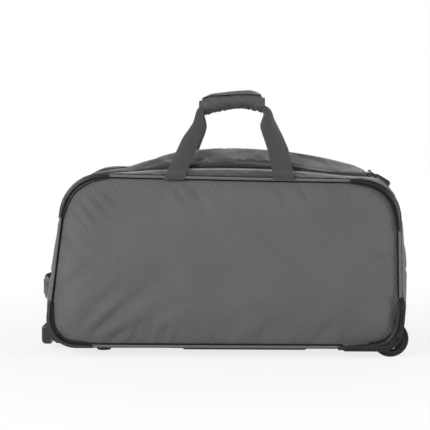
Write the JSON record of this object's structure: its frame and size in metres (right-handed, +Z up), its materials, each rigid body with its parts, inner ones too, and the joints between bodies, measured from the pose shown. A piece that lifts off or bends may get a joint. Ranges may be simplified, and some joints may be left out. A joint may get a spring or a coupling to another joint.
{
  "type": "rolling duffel bag",
  "caption": "Soft grey wheeled duffel bag with a zipped lid, wrapped carry handles, moulded wheel corners and a pull-out trolley handle.",
  "frame": {"origin": "middle of the footprint, on the floor that the wheels and feet stand on", "axes": "+X along the bag towards the wheels, -Y towards the front panel, +Z up"},
  "size_m": [0.7009, 0.332, 0.492],
  "materials": {
    "board_plastic": "black sheet",
    "bright_steel": "ground",
    "foot_rubber": "matt black",
    "grip_plastic": "fine-grained black",
    "guard_rubber": "satin black",
    "gusset_fabric": "plain polyester weave, mid grey",
    "hub_plastic": "matt black",
    "lid_fabric": "padded plain weave, dark grey",
    "moulded_plastic": "fine-grained black",
    "panel_fabric": "fine diagonal ripstop weave, mid grey",
    "piping_fabric": "fabric-covered cord, mid grey",
    "pull_rubber": "moulded, satin black",
    "slider_metal": "black enamel",
    "tube_aluminium": "satin anodised",
    "tyre_rubber": "matt black",
    "webbing": "flat woven webbing, dark grey",
    "wrap_fabric": "padded plain weave, dark grey",
    "zip_coil": "nylon coil, black",
    "zip_tape": "twill tape, grey"
  },
  "bodies": {
    "bag": {"base_board": "board_plastic", "base_panel": "gusset_fabric", "end_grab_handle": "webbing", "front_foot": "foot_rubber", "front_low_handle_end_guard": "guard_rubber", "front_outer_tube": "tube_aluminium", "front_panel": "panel_fabric", "front_piping": "piping_fabric", "front_skid_rail": "moulded_plastic", "front_strap_anchors": "webbing", "front_top_handle_end_guard": "guard_rubber", "front_top_wheel_end_guard": "guard_rubber", "front_wheel_axle": "bright_steel", "front_wheel_housing": "moulded_plastic", "handle_end_lower_panel": "gusset_fabric", "handle_end_upper_panel": "gusset_fabric", "kick_plate": "moulded_plastic", "rear_foot": "foot_rubber", "rear_low_handle_end_guard": "guard_rubber", "rear_outer_tube": "tube_aluminium", "rear_panel": "panel_fabric", "rear_piping": "piping_fabric", "rear_skid_rail": "moulded_plastic", "rear_strap_anchors": "webbing", "rear_top_handle_end_guard": "guard_rubber", "rear_top_wheel_end_guard": "guard_rubber", "rear_wheel_axle": "bright_steel", "rear_wheel_housing": "moulded_plastic", "top_panel": "gusset_fabric", "trolley_bracket": "moulded_plastic", "trolley_socket": "moulded_plastic", "trolley_tunnel": "board_plastic", "wheel_end_lower_panel": "gusset_fabric", "wheel_end_upper_panel": "gusset_fabric", "zip_coil": "zip_coil", "zip_frame_tape": "zip_tape"},
    "lid": {"lid_panel": "lid_fabric", "zip_lid_tape": "zip_tape"},
    "front_handle": {"front_carry_handle": "webbing", "front_grip_wrap": "wrap_fabric"},
    "rear_handle": {"rear_carry_handle": "webbing", "rear_grip_wrap": "wrap_fabric"},
    "front_wheel": {"front_wheel_tyre": "tyre_rubber", "front_wheel_hub": "hub_plastic", "front_wheel_bearings": "bright_steel"},
    "rear_wheel": {"rear_wheel_tyre": "tyre_rubber", "rear_wheel_hub": "hub_plastic", "rear_wheel_bearings": "bright_steel"},
    "trolley": {"front_inner_tube": "tube_aluminium", "rear_inner_tube": "tube_aluminium", "trolley_grip": "grip_plastic"},
    "button": {"trolley_button": "grip_plastic"},
    "front_slider": {"front_zip_slider": "slider_metal"},
    "front_pull": {"front_zip_pull": "pull_rubber"},
    "rear_slider": {"rear_zip_slider": "slider_metal"},
    "rear_pull": {"rear_zip_pull": "pull_rubber"}
  },
  "joints": [
    {"name": "lid_open", "type": "hinge", "parent": "bag", "child": "lid", "pos_m": [0, 0.115, 0.35243], "axis": [-1, 0, 0], "range_deg": [0, 100]},
    {"name": "front_handle_drop", "type": "hinge", "parent": "bag", "child": "front_handle", "pos_m": [0, -0.16035, 0.33132], "axis": [1, 0, 0], "range_deg": [0, 200]},
    {"name": "rear_handle_drop", "type": "hinge", "parent": "bag", "child": "rear_handle", "pos_m": [0, 0.16035, 0.33132], "axis": [-1, 0, 0], "range_deg": [0, 200]},
    {"name": "front_wheel_spin", "type": "hinge", "parent": "bag", "child": "front_wheel", "pos_m": [0.311, -0.1339, 0.034], "axis": [0, 1, 0], "continuous": true},
    {"name": "rear_wheel_spin", "type": "hinge", "parent": "bag", "child": "rear_wheel", "pos_m": [0.311, 0.1339, 0.034], "axis": [0, 1, 0], "continuous": true},
    {"name": "trolley_slide", "type": "slide", "parent": "bag", "child": "trolley", "axis": [-1, 0, 0], "range_m": [0, 0.33]},
    {"name": "button_press", "type": "slide", "parent": "trolley", "child": "button", "axis": [1, 0, 0], "range_m": [0, 0.0025], "stiffness_N_per_m": 600, "springref_m": -0.002},
    {"name": "front_slider_run", "type": "slide", "parent": "bag", "child": "front_slider", "axis": [0, -1, 0], "range_m": [0, 0.009]},
    {"name": "front_pull_swing", "type": "hinge", "parent": "front_slider", "child": "front_pull", "pos_m": [0.27637, -0.04, 0.33998], "axis": [0, -1, 0], "range_deg": [0, 120]},
    {"name": "rear_slider_run", "type": "slide", "parent": "bag", "child": "rear_slider", "axis": [0, 1, 0], "range_m": [0, 0.036]},
    {"name": "rear_pull_swing", "type": "hinge", "parent": "rear_slider", "child": "rear_pull", "pos_m": [0.2764, -0.023, 0.34091], "axis": [0, -1, 0], "range_deg": [0, 120]}
  ],
  "couplings": [
    {"joint": "front_handle_drop", "follows": "lid_open", "ratio": 2},
    {"joint": "rear_handle_drop", "follows": "lid_open", "ratio": 2}
  ]
}
